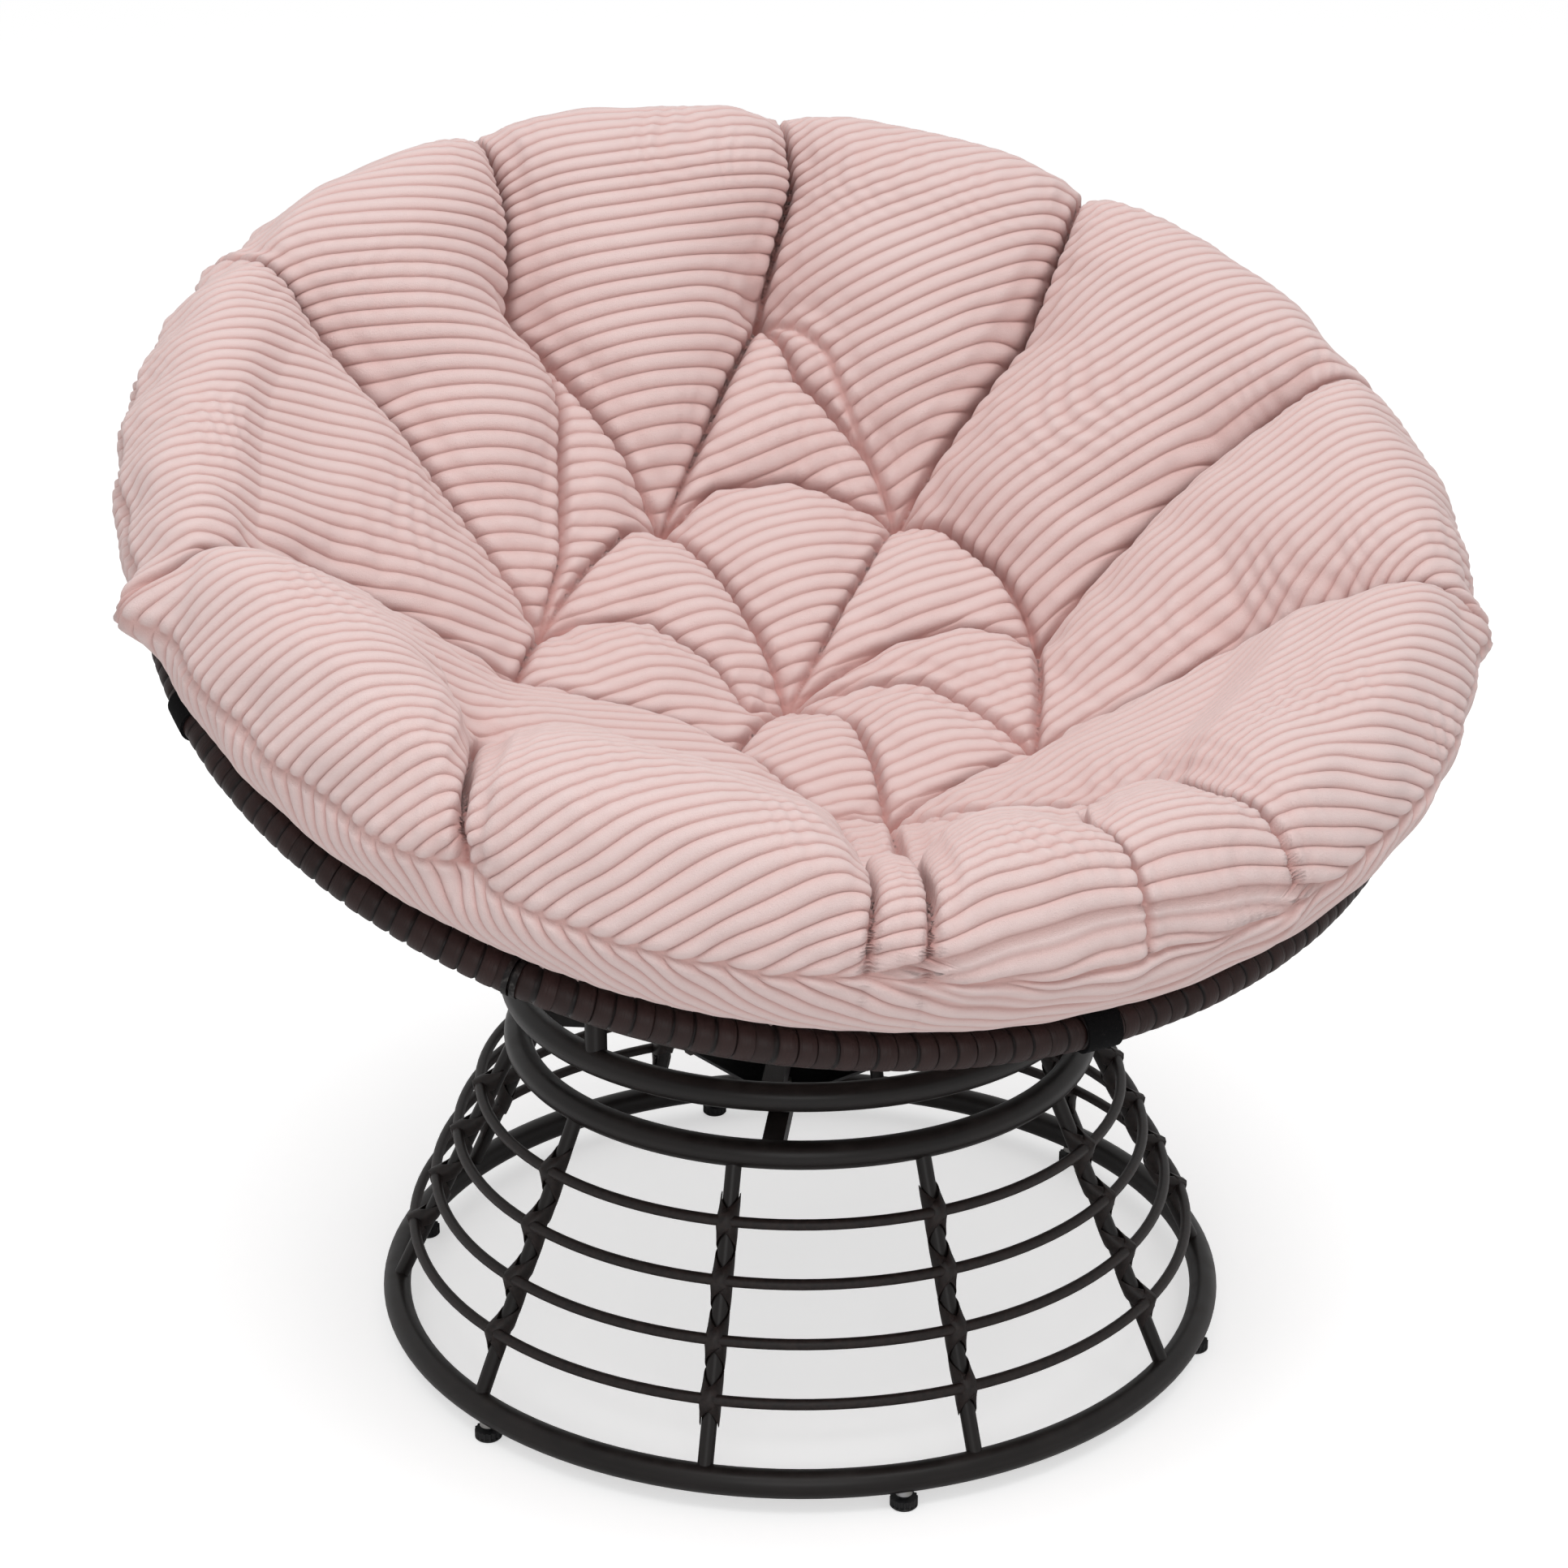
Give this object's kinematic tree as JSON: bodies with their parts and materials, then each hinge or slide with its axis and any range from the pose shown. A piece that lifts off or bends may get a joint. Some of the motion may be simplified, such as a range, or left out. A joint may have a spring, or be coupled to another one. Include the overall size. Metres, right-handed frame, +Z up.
{
  "type": "garden lounge chair",
  "caption": "Swivel papasan garden lounge chair: tilted round bowl of dark steel rod and resin wicker on a caged ring base, with a tufted pink corduroy plush cushion",
  "frame": {"origin": "on the floor under the swivel axis, at the middle of the chair's footprint", "axes": "+Z up; the seat's low front edge faces -Y, its raised back +Y; +X to the right seen from the front"},
  "size_m": [1.0155, 0.9683, 0.9019],
  "materials": {
    "frame_steel": "satin",
    "swivel_black": "satin",
    "wicker": "matte",
    "foot_black": "matte",
    "zinc_steel": "satin",
    "bolt_steel": "satin",
    "ball_steel": "gloss",
    "plush_pink": "matte",
    "strap_black": "matte"
  },
  "bodies": {
    "base": {"foot_inserts": "zinc_steel", "ground_ring": "frame_steel", "cage_ribs": "frame_steel", "cage_top_ring": "frame_steel", "cage_strands": "wicker", "cage_lashing": "wicker", "base_cross_arms": "frame_steel", "lower_swivel_plate": "swivel_black", "lower_plate_bolts": "bolt_steel", "swivel_pivot": "bolt_steel", "swivel_balls": "ball_steel"},
    "foot_a": {"foot_pads_a": "foot_black"},
    "foot_b": {"foot_pads_b": "foot_black"},
    "foot_c": {"foot_pads_c": "foot_black"},
    "foot_d": {"foot_pads_d": "foot_black"},
    "foot_e": {"foot_pads_e": "foot_black"},
    "foot_f": {"foot_pads_f": "foot_black"},
    "seat": {"upper_swivel_plate": "swivel_black", "upper_plate_bolts": "bolt_steel", "seat_cross_arms": "frame_steel", "seat_ring": "frame_steel", "seat_posts": "frame_steel", "bowl_carrier_ring": "frame_steel", "bowl_hub_ring": "frame_steel", "bowl_ribs": "frame_steel", "bowl_strands": "wicker", "bowl_lashing": "wicker", "rim_tube_left": "frame_steel", "rim_tube_right": "frame_steel", "rim_wrap_left": "wicker", "rim_wrap_right": "wicker", "rim_spigots": "zinc_steel", "rim_end_bands": "bolt_steel", "rim_bolts": "bolt_steel", "cushion": "plush_pink", "cushion_straps": "strap_black"}
  },
  "joints": [
    {"name": "swivel", "type": "hinge", "parent": "base", "child": "seat", "pos_m": [0, 0, 0.26725], "axis": [0, 0, 1], "continuous": true},
    {"name": "level_a", "type": "slide", "parent": "base", "child": "foot_a", "axis": [0, 0, -1], "range_m": [0, 0.008]},
    {"name": "level_b", "type": "slide", "parent": "base", "child": "foot_b", "axis": [0, 0, -1], "range_m": [0, 0.008]},
    {"name": "level_c", "type": "slide", "parent": "base", "child": "foot_c", "axis": [0, 0, -1], "range_m": [0, 0.008]},
    {"name": "level_d", "type": "slide", "parent": "base", "child": "foot_d", "axis": [0, 0, -1], "range_m": [0, 0.008]},
    {"name": "level_e", "type": "slide", "parent": "base", "child": "foot_e", "axis": [0, 0, -1], "range_m": [0, 0.008]},
    {"name": "level_f", "type": "slide", "parent": "base", "child": "foot_f", "axis": [0, 0, -1], "range_m": [0, 0.008]}
  ]
}
